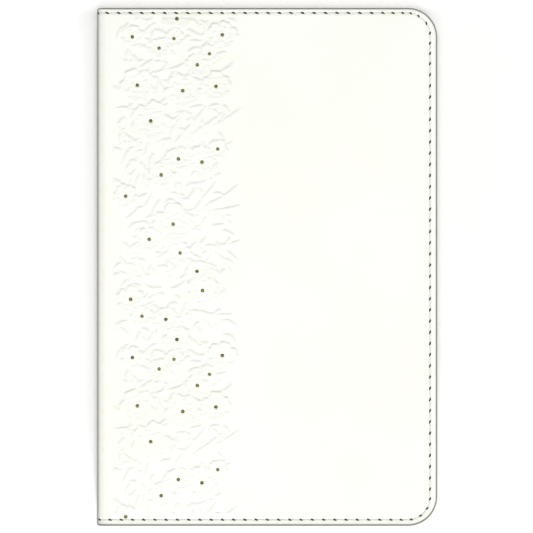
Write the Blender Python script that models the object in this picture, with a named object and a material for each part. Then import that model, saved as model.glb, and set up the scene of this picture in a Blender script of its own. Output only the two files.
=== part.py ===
"""Prayer book: a thick pocket book, sewn in sections, in a limp stitched cover of imitation leather.

Metres. The closed book lies on its back cover, with +Z up through the front cover, +Y towards the head
and +X towards the fore-edge. The origin is the middle of the resting face. All the hinge lines run along
Y just outside the spine: the book opens at its middle leaves, and each cover swings about its own edge of
the spine. Each half of the book is the same set of pieces, laid down from its own cover inwards.
"""

import math

import bmesh
import bpy
from mathutils import Vector

MM = 0.001

# Overall sizes of the closed book
COVER_WIDTH = 117 * MM  # back of the spine to the fore-edge of the covers
COVER_HEIGHT = 178 * MM
BOOK_THICKNESS = 24 * MM
FORE_CORNER = 10 * MM  # radius of the covers' two fore-edge corners
SPINE_CORNER = 0.5 * MM

# The gap that neighbouring solids keep, and how far the hinge lines stand off what turns about them
GAP = 0.3 * MM
HINGE_CLEARANCE = 0.3 * MM

# Cover: padded skin turned in over a thin board, and a lining inside
SKIN = 0.9 * MM
BOARD = 0.6 * MM
TURN_IN = 0.3 * MM  # skin folded over onto the inner side, as thick as the lining beside it
TURN_IN_WIDTH = 12 * MM
BEHIND_SEAM = 0.6 * MM  # solid folded skin between the seam's groove and the board's pocket
FLEXIBLE_STRIP = 5 * MM  # from the back of the spine to the board, where the cover bends

# Seam along head, fore-edge and tail, sunk in a groove on both sides of the cover
THREAD = 0.4 * MM
SEAM_FROM_HEAD = 1.8 * MM
SEAM_FROM_FORE_EDGE = 2.5 * MM
SEAM_FROM_TAIL = 2.2 * MM
THREAD_RECESS = 0.1 * MM  # thread to the face of the skin

# Spine: the skin, a paper inlay, gauze and the sewing, one on the other
SPINE_INLAY = 0.4 * MM
SPINE_TURN_IN = 8 * MM  # doubled skin at head and tail
GAUZE = 0.3 * MM
SEWING_THREAD = 0.4 * MM
SEWING_STATIONS = 6
SEWING_FROM_END = 14 * MM  # block's head or tail to the nearest station

# Book block
HEAD_SQUARE = 4 * MM  # how far the cover stands out past the pages at head and tail
FORE_SQUARE = 4.5 * MM
BLOCK_CORNER = 8 * MM
SECTIONS = 5  # in each half
LEAF = 0.3 * MM
MIDDLE_LEAVES = 4
HEADBAND = 1.6 * MM  # diameter of the bead

CORNER_STEPS = 10  # segments in each rounded corner

IVORY = (0.96, 0.95, 0.88)
CREAM = (0.93, 0.91, 0.8)
GREY_BOARD = (0.5, 0.48, 0.44)
PAPER = (0.95, 0.93, 0.86)
GAUZE_WHITE = (0.88, 0.88, 0.85)
OLIVE_GREY = (0.36, 0.36, 0.3)
LINEN = (0.85, 0.8, 0.68)
STRIPED_WHITE = (0.95, 0.94, 0.9)

SPINE_X = -COVER_WIDTH / 2
FORE_X = COVER_WIDTH / 2
HEAD_Y = COVER_HEIGHT / 2
HINGE_X = SPINE_X - HINGE_CLEARANCE
MIDDLE_Z = BOOK_THICKNESS / 2

COVER = SKIN + GAP + BOARD + GAP + TURN_IN
SEAM_DEPTH = THREAD_RECESS + THREAD + GAP
SEAM_WIDTH = THREAD + 2 * GAP
STITCHED_EDGE = max(SEAM_FROM_HEAD, SEAM_FROM_FORE_EDGE, SEAM_FROM_TAIL) + SEAM_WIDTH / 2 + BEHIND_SEAM

# Distances in from the back of the spine, in the order in which it is built up
INLAY_X = SKIN + GAP
GAUZE_X = INLAY_X + SPINE_INLAY + GAP
SEWING_X = GAUZE_X + GAUZE + GAP
BLOCK_X = SEWING_X + SEWING_THREAD + GAP

# Distances in from a cover's outer face, the same on both halves
FLYLEAF_DEPTH = COVER + GAP
SECTIONS_DEPTH = FLYLEAF_DEPTH + LEAF + GAP
MIDDLE_STACK = MIDDLE_LEAVES * LEAF + (MIDDLE_LEAVES + 1) * GAP
SECTIONS_END = (BOOK_THICKNESS - MIDDLE_STACK) / 2
SECTION = (SECTIONS_END - SECTIONS_DEPTH - (SECTIONS - 1) * GAP) / SECTIONS
SPINE_DEPTH = COVER + GAP
SPINE_END = (BOOK_THICKNESS - GAP) / 2

PAGE_HEAD_Y = HEAD_Y - HEAD_SQUARE


def named_collection(name):
    made = bpy.data.collections.new(name)
    bpy.context.scene.collection.children.link(made)
    return made


for old in list(bpy.data.objects):
    bpy.data.objects.remove(old)

book = named_collection("prayer_book")
cutters = named_collection("cutters")


def finish_of(name, colour, roughness):
    material = bpy.data.materials.new(name)
    material.use_nodes = True
    shader = material.node_tree.nodes["Principled BSDF"]
    shader.inputs["Base Color"].default_value = (*colour, 1)
    shader.inputs["Roughness"].default_value = roughness
    shader.inputs["Metallic"].default_value = 0
    material.diffuse_color = (*colour, 1)
    return material


imitation_leather = finish_of("imitation_leather", IVORY, 0.45)
lining_paper = finish_of("lining_paper", CREAM, 0.7)
cover_board = finish_of("cover_board", GREY_BOARD, 0.9)
page_paper = finish_of("page_paper", PAPER, 0.8)
gauze_cloth = finish_of("gauze_cloth", GAUZE_WHITE, 0.95)
seam_thread = finish_of("seam_thread", OLIVE_GREY, 0.6)
linen_thread = finish_of("linen_thread", LINEN, 0.8)
band_silk = finish_of("band_silk", STRIPED_WHITE, 0.5)


# Hinge lines: one empty for each body, which carries the body's pieces
def hinge_line(name, z, carrier=None):
    empty = bpy.data.objects.new(name, None)
    empty.empty_display_size = 10 * MM
    book.objects.link(empty)
    empty.location = (HINGE_X, 0, z)
    if carrier is not None:
        empty.parent = carrier
        empty.location = (0, 0, z - carrier.location.z)
    return empty


COVER_HINGE_Z = {"front": BOOK_THICKNESS + HINGE_CLEARANCE, "back": -HINGE_CLEARANCE}
HALVES = {side: hinge_line(f"{side}_half_axis", MIDDLE_Z) for side in ("front", "back")}
COVERS = {
    side: hinge_line(f"{side}_cover_axis", COVER_HINGE_Z[side], HALVES[side]) for side in HALVES
}
FLYLEAVES = {
    side: hinge_line(f"{side}_flyleaf_axis", COVER_HINGE_Z[side], HALVES[side]) for side in HALVES
}


def level(side, depth):
    """The height at this depth in from the outer face of the front or the back cover."""
    return BOOK_THICKNESS - depth if side == "front" else depth


def carried(piece, axis, material):
    """Hangs a piece, made in the book's own frame, on the empty of its body."""
    place = Vector(piece.location)
    origin = axis.location if axis.parent is None else axis.location + axis.parent.location
    piece.parent = axis
    piece.location = place - origin
    piece.data.materials.clear()
    piece.data.materials.append(material)
    return piece


def as_cutter(piece):
    """Moves a piece to the cutters, which are drawn as wire and left out of the book."""
    for collection in list(piece.users_collection):
        collection.objects.unlink(piece)
    cutters.objects.link(piece)
    piece.hide_render = True
    piece.display_type = "WIRE"
    return piece


def mesh_of(curve_object):
    """A curve's solid as a mesh object with its caps welded on, at the curve's place."""
    bpy.context.view_layer.update()
    graph = bpy.context.evaluated_depsgraph_get()
    mesh = bpy.data.meshes.new_from_object(curve_object.evaluated_get(graph))
    welded = bmesh.new()
    welded.from_mesh(mesh)
    bmesh.ops.remove_doubles(welded, verts=welded.verts, dist=0.001 * MM)
    bmesh.ops.recalc_face_normals(welded, faces=welded.faces)
    welded.to_mesh(mesh)
    welded.free()
    name = curve_object.name
    made = bpy.data.objects.new(name + "_solid", mesh)
    made.matrix_world = curve_object.matrix_world.copy()
    bpy.data.objects.remove(curve_object)
    made.name = name
    book.objects.link(made)
    return made


def plate(name, outline, z_from, z_to):
    """A flat piece: an outline in X and Y, drawn as a filled 2D curve as thick as the two levels say."""
    curve = bpy.data.curves.new(name, "CURVE")
    curve.dimensions = "2D"
    curve.fill_mode = "BOTH"
    curve.extrude = abs(z_to - z_from) / 2
    spline = curve.splines.new("POLY")
    spline.points.add(len(outline) - 1)
    for point, (x, y) in zip(spline.points, outline):
        point.co = (x, y, 0, 1)
    spline.use_cyclic_u = True
    drawn = bpy.data.objects.new(name, curve)
    drawn.location = (0, 0, (z_from + z_to) / 2)
    book.objects.link(drawn)
    return mesh_of(drawn)


def cord(name, points, diameter, sides_level=1):
    """A thread or a bead: a tube with filled caps along the points."""
    curve = bpy.data.curves.new(name, "CURVE")
    curve.dimensions = "3D"
    curve.bevel_depth = diameter / 2
    curve.bevel_resolution = sides_level
    curve.use_fill_caps = True
    spline = curve.splines.new("POLY")
    spline.points.add(len(points) - 1)
    for point, place in zip(spline.points, points):
        point.co = (*place, 1)
    drawn = bpy.data.objects.new(name, curve)
    book.objects.link(drawn)
    made = mesh_of(drawn)
    made.data.shade_smooth()
    return made


def block(name, low, high):
    """A box between two corners."""
    mesh = bpy.data.meshes.new(name)
    shape = bmesh.new()
    bmesh.ops.create_cube(shape, size=1)
    bmesh.ops.scale(shape, vec=Vector(high) - Vector(low), verts=shape.verts)
    shape.to_mesh(mesh)
    shape.free()
    made = bpy.data.objects.new(name, mesh)
    made.location = (Vector(low) + Vector(high)) / 2
    book.objects.link(made)
    return made


def cut(piece, cutter):
    modifier = piece.modifiers.new(cutter.name, "BOOLEAN")
    modifier.operation = "DIFFERENCE"
    modifier.object = as_cutter(cutter)


def arc(centre, radius, start, end):
    """Points along an arc of the plan, from one angle in degrees to the other."""
    points = []
    for step in range(CORNER_STEPS + 1):
        turn = math.radians(start + (end - start) * step / CORNER_STEPS)
        points.append((centre[0] + radius * math.cos(turn), centre[1] + radius * math.sin(turn)))
    return points


def rounded_outline(x_from, x_to, head_y, tail_y, spine_corner, fore_corner):
    """A page or cover in plan: nearly square corners at the spine and round ones at the fore-edge."""
    outline = []
    for x, y, radius, start in (
        (x_to, tail_y, fore_corner, 270),
        (x_to, head_y, fore_corner, 0),
        (x_from, head_y, spine_corner, 90),
        (x_from, tail_y, spine_corner, 180),
    ):
        inward = (-1 if x == x_to else 1, -1 if y == head_y else 1)
        centre = (x + inward[0] * radius, y + inward[1] * radius)
        outline += arc(centre, radius, start, start + 90) if radius > 0 else [(x, y)]
    return outline


def seam_line(outwards=0.0, from_x=SPINE_X):
    """The seam in plan, from the spine along the head, the fore-edge and the tail, moved out or in."""
    head_y = HEAD_Y - SEAM_FROM_HEAD + outwards
    tail_y = -HEAD_Y + SEAM_FROM_TAIL - outwards
    fore_x = FORE_X - SEAM_FROM_FORE_EDGE + outwards
    radius = FORE_CORNER - SEAM_FROM_FORE_EDGE + outwards
    line = [(from_x, head_y)]
    line += arc((fore_x - radius, head_y - radius), radius, 90, 0)
    line += arc((fore_x - radius, tail_y + radius), radius, 0, -90)
    line.append((from_x, tail_y))
    return line


def page_outline():
    return rounded_outline(
        SPINE_X + BLOCK_X, FORE_X - FORE_SQUARE, PAGE_HEAD_Y, -PAGE_HEAD_Y, 0, BLOCK_CORNER
    )


# Covers
def cover_outline(inset=0.0, spine_inset=0.0):
    return rounded_outline(
        SPINE_X + spine_inset,
        FORE_X - inset,
        HEAD_Y - inset,
        -HEAD_Y + inset,
        SPINE_CORNER if spine_inset == 0 else 0,
        FORE_CORNER - inset,
    )


def seam_groove(name, side, depth_from, depth_to):
    """The cutter of a seam groove: a band along the seam, run out past the spine."""
    beyond = SPINE_X - FLEXIBLE_STRIP
    outer = seam_line(SEAM_WIDTH / 2, beyond)
    inner = seam_line(-SEAM_WIDTH / 2, beyond)
    return plate(name, outer + inner[::-1], level(side, depth_from), level(side, depth_to))


def make_cover(side):
    axis = COVERS[side]
    skin = plate(side + "_cover_skin", cover_outline(), level(side, 0), level(side, COVER))
    pocket = cover_outline(STITCHED_EDGE, FLEXIBLE_STRIP)
    cut(skin, plate(side + "_board_pocket", pocket, level(side, SKIN), level(side, COVER - TURN_IN)))
    window = cover_outline(TURN_IN_WIDTH, FLEXIBLE_STRIP + GAP)
    window_z = (level(side, COVER - TURN_IN - GAP), level(side, COVER + GAP))
    cut(skin, plate(side + "_lining_window", window, *window_z))
    cut(skin, seam_groove(side + "_outer_groove", side, -GAP, SEAM_DEPTH))
    cut(skin, seam_groove(side + "_inner_groove", side, COVER - SEAM_DEPTH, COVER + GAP))
    carried(skin, axis, imitation_leather)

    board_outline = cover_outline(STITCHED_EDGE + GAP, FLEXIBLE_STRIP + GAP)
    board_z = (level(side, SKIN + GAP), level(side, SKIN + GAP + BOARD))
    carried(plate(side + "_cover_board", board_outline, *board_z), axis, cover_board)

    lining_outline = cover_outline(TURN_IN_WIDTH + GAP, FLEXIBLE_STRIP + 2 * GAP)
    lining_z = (level(side, COVER - TURN_IN), level(side, COVER))
    carried(plate(side + "_cover_lining", lining_outline, *lining_z), axis, lining_paper)

    for face, depth in (
        ("outer", THREAD_RECESS + THREAD / 2),
        ("inner", COVER - THREAD_RECESS - THREAD / 2),
    ):
        route = [(x, y, level(side, depth)) for x, y in seam_line()]
        carried(cord(f"{side}_cover_{face}_seam_thread", route, THREAD), axis, seam_thread)


# Spine: its two halves bend apart at mid-thickness when the book opens
def spine_piece(name, side, x_from, x_to, end_inset, material):
    z_from, z_to = sorted((level(side, SPINE_DEPTH), level(side, SPINE_END)))
    low = (SPINE_X + x_from, -HEAD_Y + end_inset, z_from)
    high = (SPINE_X + x_to, HEAD_Y - end_inset, z_to)
    return carried(block(f"{side}_spine_{name}", low, high), HALVES[side], material)


def make_spine(side):
    z_from, z_to = sorted((level(side, SPINE_DEPTH), level(side, SPINE_END)))
    skin = spine_piece("skin", side, 0, INLAY_X + SPINE_INLAY, 0, imitation_leather)
    inlay_low = (SPINE_X + SKIN, -HEAD_Y + SPINE_TURN_IN, z_from - GAP)
    inlay_high = (SPINE_X + INLAY_X + SPINE_INLAY + GAP, HEAD_Y - SPINE_TURN_IN, z_to + GAP)
    cut(skin, block(side + "_inlay_recess", inlay_low, inlay_high))

    spine_piece("inlay", side, INLAY_X, INLAY_X + SPINE_INLAY, SPINE_TURN_IN + GAP, cover_board)
    spine_piece("gauze", side, GAUZE_X, GAUZE_X + GAUZE, HEAD_SQUARE + SPINE_TURN_IN, gauze_cloth)

    for end, seam_y in (("head", HEAD_Y - SEAM_FROM_HEAD), ("tail", -HEAD_Y + SEAM_FROM_TAIL)):
        groove_low = (SPINE_X - GAP, seam_y - SEAM_WIDTH / 2, z_from - GAP)
        groove_high = (SPINE_X + SEAM_DEPTH, seam_y + SEAM_WIDTH / 2, z_to + GAP)
        cut(skin, block(f"{side}_{end}_groove", groove_low, groove_high))
        thread_x = SPINE_X + THREAD_RECESS + THREAD / 2
        route = [(thread_x, seam_y, z_from), (thread_x, seam_y, z_to)]
        carried(cord(f"{side}_spine_{end}_stitches", route, THREAD), HALVES[side], seam_thread)

    bead_x = SPINE_X + BLOCK_X + HEADBAND / 2
    band_from, band_to = sorted((level(side, SECTIONS_DEPTH), level(side, SECTIONS_END)))
    for end, way in (("headband", 1), ("tailband", -1)):
        bead_y = way * (PAGE_HEAD_Y + GAP + HEADBAND / 2)
        route = [(bead_x, bead_y, band_from), (bead_x, bead_y, band_to)]
        carried(cord(f"{side}_{end}", route, HEADBAND, 2), HALVES[side], band_silk)


def make_sewing(side):
    """The linen thread that crosses the folds of the sections at each station, up and down in turn."""
    ends = (
        level(side, SECTIONS_DEPTH + SEWING_THREAD / 2),
        level(side, SECTIONS_END - SEWING_THREAD / 2),
    )
    first_y = PAGE_HEAD_Y - SEWING_FROM_END
    pitch = 2 * first_y / (SEWING_STATIONS - 1)
    x = SPINE_X + SEWING_X + SEWING_THREAD / 2
    route = []
    for station in range(SEWING_STATIONS):
        y = first_y - station * pitch
        crossing = ends if station % 2 == 0 else ends[::-1]
        route += [(x, y, z) for z in crossing]
    carried(cord(side + "_sewing_thread", route, SEWING_THREAD), HALVES[side], linen_thread)


# Book block
def make_sections(side):
    for number in range(1, SECTIONS + 1):
        depth = SECTIONS_DEPTH + (number - 1) * (SECTION + GAP)
        section = plate(
            f"{side}_section_{number}", page_outline(), level(side, depth), level(side, depth + SECTION)
        )
        carried(section, HALVES[side], page_paper)


def make_leaf(name, z_from, axis):
    leaf = plate(name, page_outline(), z_from, z_from + LEAF)
    carried(leaf, axis, page_paper)


for side_name in ("front", "back"):
    make_cover(side_name)
    make_spine(side_name)
    make_sewing(side_name)
    make_sections(side_name)
    flyleaf_z = min(level(side_name, FLYLEAF_DEPTH), level(side_name, FLYLEAF_DEPTH + LEAF))
    make_leaf(side_name + "_flyleaf", flyleaf_z, FLYLEAVES[side_name])

for leaf_number in range(1, MIDDLE_LEAVES + 1):
    leaf_z = MIDDLE_Z + MIDDLE_STACK / 2 - leaf_number * (LEAF + GAP)
    make_leaf(f"middle_leaf_{leaf_number}", leaf_z, hinge_line(f"middle_leaf_{leaf_number}_axis", MIDDLE_Z))
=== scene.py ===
"""Prayer book: a closed pocket book in a limp stitched cover of ivory imitation leather.

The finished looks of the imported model. Metres, in the model's own frame: the book lies on its back cover,
spine at -X, head at +Y, front cover up.
"""

import math

import bmesh
import bpy
import numpy as np
from mathutils import Matrix, Vector


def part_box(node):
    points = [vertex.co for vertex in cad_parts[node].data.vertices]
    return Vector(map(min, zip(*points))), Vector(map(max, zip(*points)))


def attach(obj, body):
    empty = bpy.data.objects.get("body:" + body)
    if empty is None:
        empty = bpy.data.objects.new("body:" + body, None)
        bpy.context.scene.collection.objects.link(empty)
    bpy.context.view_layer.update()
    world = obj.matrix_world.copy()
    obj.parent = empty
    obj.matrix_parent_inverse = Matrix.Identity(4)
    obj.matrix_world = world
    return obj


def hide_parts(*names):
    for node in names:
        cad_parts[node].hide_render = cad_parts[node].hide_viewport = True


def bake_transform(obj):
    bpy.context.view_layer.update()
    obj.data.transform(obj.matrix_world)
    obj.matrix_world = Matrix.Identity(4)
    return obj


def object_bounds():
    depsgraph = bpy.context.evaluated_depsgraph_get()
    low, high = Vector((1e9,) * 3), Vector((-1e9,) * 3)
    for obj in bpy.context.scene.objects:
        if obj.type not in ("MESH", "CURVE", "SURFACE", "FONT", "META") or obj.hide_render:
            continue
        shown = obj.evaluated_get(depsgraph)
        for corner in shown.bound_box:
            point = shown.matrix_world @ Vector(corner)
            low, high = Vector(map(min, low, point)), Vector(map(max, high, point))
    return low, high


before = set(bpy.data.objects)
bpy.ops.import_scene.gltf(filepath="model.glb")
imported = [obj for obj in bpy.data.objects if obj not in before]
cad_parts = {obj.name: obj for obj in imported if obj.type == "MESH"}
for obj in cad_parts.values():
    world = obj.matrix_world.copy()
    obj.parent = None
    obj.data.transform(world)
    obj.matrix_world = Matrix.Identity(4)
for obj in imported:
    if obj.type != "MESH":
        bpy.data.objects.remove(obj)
cad_low, cad_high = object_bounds()

MM = 0.001

# --- The book's place and framing -----------------------------------------------------
# The closed book lies flat and is seen straight down on its front cover, head up. A long lens keeps the
# view almost parallel, so the sides of the book hardly show.

SPINE_X, FORE_X = cad_low.x, cad_high.x
HEAD_Y = cad_high.y
THICKNESS = cad_high.z
MIDDLE_Z = THICKNESS / 2
FORE_CORNER = 10 * MM

camera_height = 1300 * MM
view_across = 183.0 * MM
film_across = 36.0  # Blender gives film and lens in millimetres
view_shift = 0.14 * MM

camera_data = bpy.data.cameras.new("camera")
camera_data.type = "PERSP"
camera_data.sensor_width = film_across
camera_data.lens = film_across * (camera_height - THICKNESS) / view_across
camera_data.clip_start = 0.01
camera_data.clip_end = 20
camera = bpy.data.objects.new("camera", camera_data)
camera.location = (-view_shift, view_shift, camera_height)
bpy.context.scene.collection.objects.link(camera)
bpy.context.scene.camera = camera


def soft_light(name, place, size, watts):
    light = bpy.data.lights.new(name, "AREA")
    light.shape = "RECTANGLE"
    light.size, light.size_y = size
    light.energy = watts
    lamp = bpy.data.objects.new(name, light)
    lamp.location = place
    lamp.rotation_euler = (Vector((0, 0, 0.02)) - lamp.location).to_track_quat("-Z", "Y").to_euler()
    bpy.context.scene.collection.objects.link(lamp)


# A lamp high overhead keeps the shadow round the book narrow; a lower one from the tail picks out the
# embossing; two wide ones fill in the sides.
soft_light("high_light", (0, 0, 2.6), (0.5, 0.5), 26)
soft_light("tail_light", (0.15, -2.2, 1.2), (0.7, 0.5), 40)
soft_light("fore_edge_light", (2.1, 0.5, 1.9), (1.4, 1.4), 5)
soft_light("spine_light", (-2.1, 0.3, 1.9), (1.4, 1.4), 4)

world = bpy.data.worlds.new("studio")
world.use_nodes = True
world.node_tree.nodes["Background"].inputs["Color"].default_value = (1, 1, 1, 1)
world.node_tree.nodes["Background"].inputs["Strength"].default_value = 0.26
bpy.context.scene.world = world
bpy.context.scene.view_settings.view_transform = "Standard"

floor_mesh = bpy.data.meshes.new("floor")
floor_shape = bmesh.new()
bmesh.ops.create_grid(floor_shape, x_segments=1, y_segments=1, size=3)
floor_shape.to_mesh(floor_mesh)
floor_shape.free()
floor = bpy.data.objects.new("floor", floor_mesh)
bpy.context.scene.collection.objects.link(floor)


class Finish:
    """A node material with short words for the nodes that the finishes of this book share."""

    def __init__(self, name, colour, roughness, **sockets):
        self.material = bpy.data.materials.new(name)
        self.material.use_nodes = True
        self.nodes = self.material.node_tree.nodes
        self.links = self.material.node_tree.links
        self.shader = self.nodes["Principled BSDF"]
        self.shader.inputs["Base Color"].default_value = (*colour, 1)
        self.shader.inputs["Roughness"].default_value = roughness
        for socket, value in sockets.items():
            self.shader.inputs[socket.replace("_", " ")].default_value = value
        self.place = self.nodes.new("ShaderNodeTexCoord").outputs["Object"]
        self.normal = None

    def add(self, kind, place=None, **values):
        """A node that reads this place, with these values in its sockets."""
        node = self.nodes.new(kind)
        for socket, value in values.items():
            node.inputs[socket].default_value = value
        self.links.new(place or self.place, node.inputs[0])
        return node

    def stretched(self, scale):
        return self.add("ShaderNodeMapping", Scale=scale).outputs["Vector"]

    def noise(self, per_metre, detail=3.0):
        return self.add("ShaderNodeTexNoise", Scale=per_metre, Detail=detail).outputs["Fac"]

    def cells(self, per_metre):
        return self.add("ShaderNodeTexVoronoi", Scale=per_metre).outputs["Distance"]

    def waves(self, per_metre, place=None, direction="Z"):
        node = self.add("ShaderNodeTexWave", place, Scale=per_metre)
        node.bands_direction = direction
        return node.outputs["Fac"]

    def along(self, axis):
        return self.add("ShaderNodeSeparateXYZ").outputs[axis]

    def beside(self, half_width, half_height):
        """How far a place lies outside a flat rectangle of this size about the origin."""
        step = self.place
        second = {"ABSOLUTE": (0, 0, 0), "SUBTRACT": (half_width, half_height, 0), "MAXIMUM": (0, 0, 0)}
        for operation, value in second.items():
            node = self.add("ShaderNodeVectorMath", step)
            node.operation = operation
            node.inputs[1].default_value = value
            step = node.outputs["Vector"]
        node = self.add("ShaderNodeVectorMath", step)
        node.operation = "LENGTH"
        return node.outputs["Value"]

    def mark(self, name):
        node = self.nodes.new("ShaderNodeAttribute")
        node.attribute_name = name
        return node.outputs["Fac"]

    def between(self, factor, low, high, low_at=0.0, high_at=1.0):
        """The factor's range from low_at to high_at drawn as the colours, or the numbers, low to high."""
        if isinstance(low, tuple):
            node = self.nodes.new("ShaderNodeValToRGB")
            start, end = node.color_ramp.elements
            start.position, end.position = low_at, high_at
            start.color, end.color = (*low, 1), (*high, 1)
            self.links.new(factor, node.inputs["Fac"])
            return node.outputs["Color"]
        node = self.nodes.new("ShaderNodeMapRange")
        node.inputs["From Min"].default_value = low_at
        node.inputs["From Max"].default_value = high_at
        node.inputs["To Min"].default_value = low
        node.inputs["To Max"].default_value = high
        self.links.new(factor, node.inputs["Value"])
        return node.outputs["Result"]

    def mixed(self, factor, first, second, blend="MIX"):
        node = self.nodes.new("ShaderNodeMix")
        node.data_type = "RGBA"
        node.blend_type = blend
        strength = [socket for socket in node.inputs if socket.name == "Factor"][0]
        colours = [socket for socket in node.inputs if socket.type == "RGBA"]
        for socket, value in zip((strength, *colours), (factor, first, second)):
            if isinstance(value, tuple):
                socket.default_value = (*value, 1)
            elif isinstance(value, (int, float)):
                socket.default_value = value
            else:
                self.links.new(value, socket)
        return [socket for socket in node.outputs if socket.type == "RGBA"][0]

    def bump(self, height, depth, strength=1.0):
        """Adds relief, this deep in metres, on top of what was added before."""
        node = self.nodes.new("ShaderNodeBump")
        node.inputs["Strength"].default_value = strength
        node.inputs["Distance"].default_value = depth
        self.links.new(height, node.inputs["Height"])
        if self.normal is not None:
            self.links.new(self.normal, node.inputs["Normal"])
        self.normal = node.outputs["Normal"]
        self.links.new(self.normal, self.shader.inputs["Normal"])

    def sets(self, socket, value):
        self.links.new(value, self.shader.inputs[socket])

    def coloured(self, factor, low, high, low_at, high_at):
        self.sets("Base Color", self.between(factor, low, high, low_at, high_at))


def piece_of(name, mesh, material):
    made = bpy.data.objects.new(name, mesh)
    bpy.context.scene.collection.objects.link(made)
    mesh.materials.clear()
    mesh.materials.append(material)
    return made


# The floor glows a little beyond the head, to lighten the shadow that the tail light throws there, and
# carries a painted grey shadow within a millimetre or so of the book, where it touches the floor.
PAINTED_SHADOW_REACH = 1.4 * MM
pale_floor = Finish("pale_floor", (1.0, 1.0, 1.0), 0.9, Emission_Color=(1, 1, 1, 1))
head_glow = pale_floor.between(pale_floor.along("Y"), 0.02, 0.3, HEAD_Y, HEAD_Y + 5 * MM)
pale_floor.sets("Emission Strength", head_glow)
from_core = pale_floor.beside(FORE_X - FORE_CORNER, HEAD_Y - FORE_CORNER)
# Painted contact shadow: grey at the book's outline, fading to white over the next 1.4 millimetres.
grey, white = (0.5, 0.5, 0.5), (1.0, 1.0, 1.0)
pale_floor.coloured(from_core, grey, white, FORE_CORNER, FORE_CORNER + PAINTED_SHADOW_REACH)
floor_mesh.materials.append(pale_floor.material)


# --- Cover leather --------------------------------------------------------------------
# Each cover is padded ivory imitation leather, folded over a thin board: a rounded edge, a turned-in strip
# inside, and a pocket that holds the board. The same sheet runs on round the corner of the spine.

skin_low, skin_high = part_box("front_cover_skin")
lining_low, lining_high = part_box("front_cover_lining")
board_low, board_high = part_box("front_cover_board")
COVER = skin_high.z - skin_low.z
SPINE_ROUND = 3.2 * MM  # how softly the sheet turns onto the spine
SPINE_SKIN = 0.95 * MM
SPINE_END_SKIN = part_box("front_spine_skin")[1].x - SPINE_X  # doubled by the turned-in ends
SPINE_TURN_IN = 8 * MM
SKIN = THICKNESS - board_high.z - 0.3 * MM
TURN_IN = lining_high.z - lining_low.z
TURN_IN_WIDTH = FORE_X - lining_high.x - 0.3 * MM
POCKET_EDGE = FORE_X - board_high.x - 0.3 * MM
POCKET_START = board_low.x - 0.3 * MM
SEAM_FROM_HEAD, SEAM_FROM_FORE_EDGE, SEAM_FROM_TAIL = 1.8 * MM, 2.5 * MM, 2.2 * MM
SPLIT_Z = 0.75 * THICKNESS  # where the cover's sheet meets the middle of the spine
BAND_START, BAND_END = 5.5 * MM, 51.5 * MM  # the flowered band, from the back of the spine

ivory = Finish("ivory_leather", (0.95, 0.955, 0.91), 0.42, Specular_IOR_Level=0.3)
cream_cloud = ivory.between(ivory.noise(28, 2.0), (0.955, 0.965, 0.905), (0.94, 0.955, 0.865), 0.42, 0.72)
spine_side = ivory.between(ivory.along("X"), 1.0, 0.0, SPINE_X + 1 * MM, SPINE_X + 8 * MM)
mottle = ivory.between(ivory.noise(420, 3.0), (0.95, 0.955, 0.88), (0.92, 0.925, 0.8), 0.45, 0.75)
# Painted shade: this mark greys the rounded rims of the covers and the spine's bend towards near black,
# standing in for the shade on those edges.
worn = ivory.between(ivory.mark("edge_wear"), 0.0, 0.93)
leather_colour = ivory.mixed(spine_side, cream_cloud, mottle)
ivory.sets("Base Color", ivory.mixed(worn, leather_colour, (0.11, 0.11, 0.1)))
ivory.sets("Roughness", ivory.between(ivory.noise(900), 0.38, 0.5))
ivory.bump(ivory.cells(2600), 0.012 * MM, 0.5)
ivory.bump(ivory.noise(6500, 2.0), 0.008 * MM, 0.5)


def smooth_step(values):
    clipped = np.clip(values, 0, 1)
    return clipped * clipped * (3 - 2 * clipped)


# Flowers of the embossed band: place from the back of the spine and down from the head, radius, petals
# and turn in degrees. All in millimetres. The plate prints the same bed of flowers over again lower down.
FLOWERS = (
    (27.6, 3.8, 4.9, 5, 20), (12.3, 10.0, 4.1, 5, 0), (43.2, 9.3, 5.0, 5, 65), (26.6, 10.6, 3.5, 5, 40),
    (21.5, 13.9, 3.7, 5, 10), (38.8, 15.8, 3.5, 5, 30), (34.6, 19.6, 4.5, 6, 0), (14.0, 26.6, 6.1, 5, 100),
    (41.0, 27.0, 5.3, 5, 50), (29.6, 28.5, 6.4, 5, 20), (18.6, 38.9, 7.0, 5, 75), (41.6, 48.5, 3.5, 5, 15),
    (28.1, 51.9, 4.3, 5, 80), (36.2, 53.0, 5.8, 5, 35), (22.2, 57.4, 4.9, 6, 10), (10.0, 64.7, 4.3, 5, 25),
    (26.3, 74.3, 7.1, 5, 55), (18.1, 79.5, 4.3, 5, 5), (28.7, 84.2, 4.0, 5, 70), (34.5, 90.5, 4.0, 5, 20),
    (36.4, 97.1, 5.9, 6, 30), (11.7, 100.1, 4.9, 5, 60), (23.8, 107.0, 4.4, 5, 15), (15.6, 105.9, 3.7, 5, 40),
)
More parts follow.
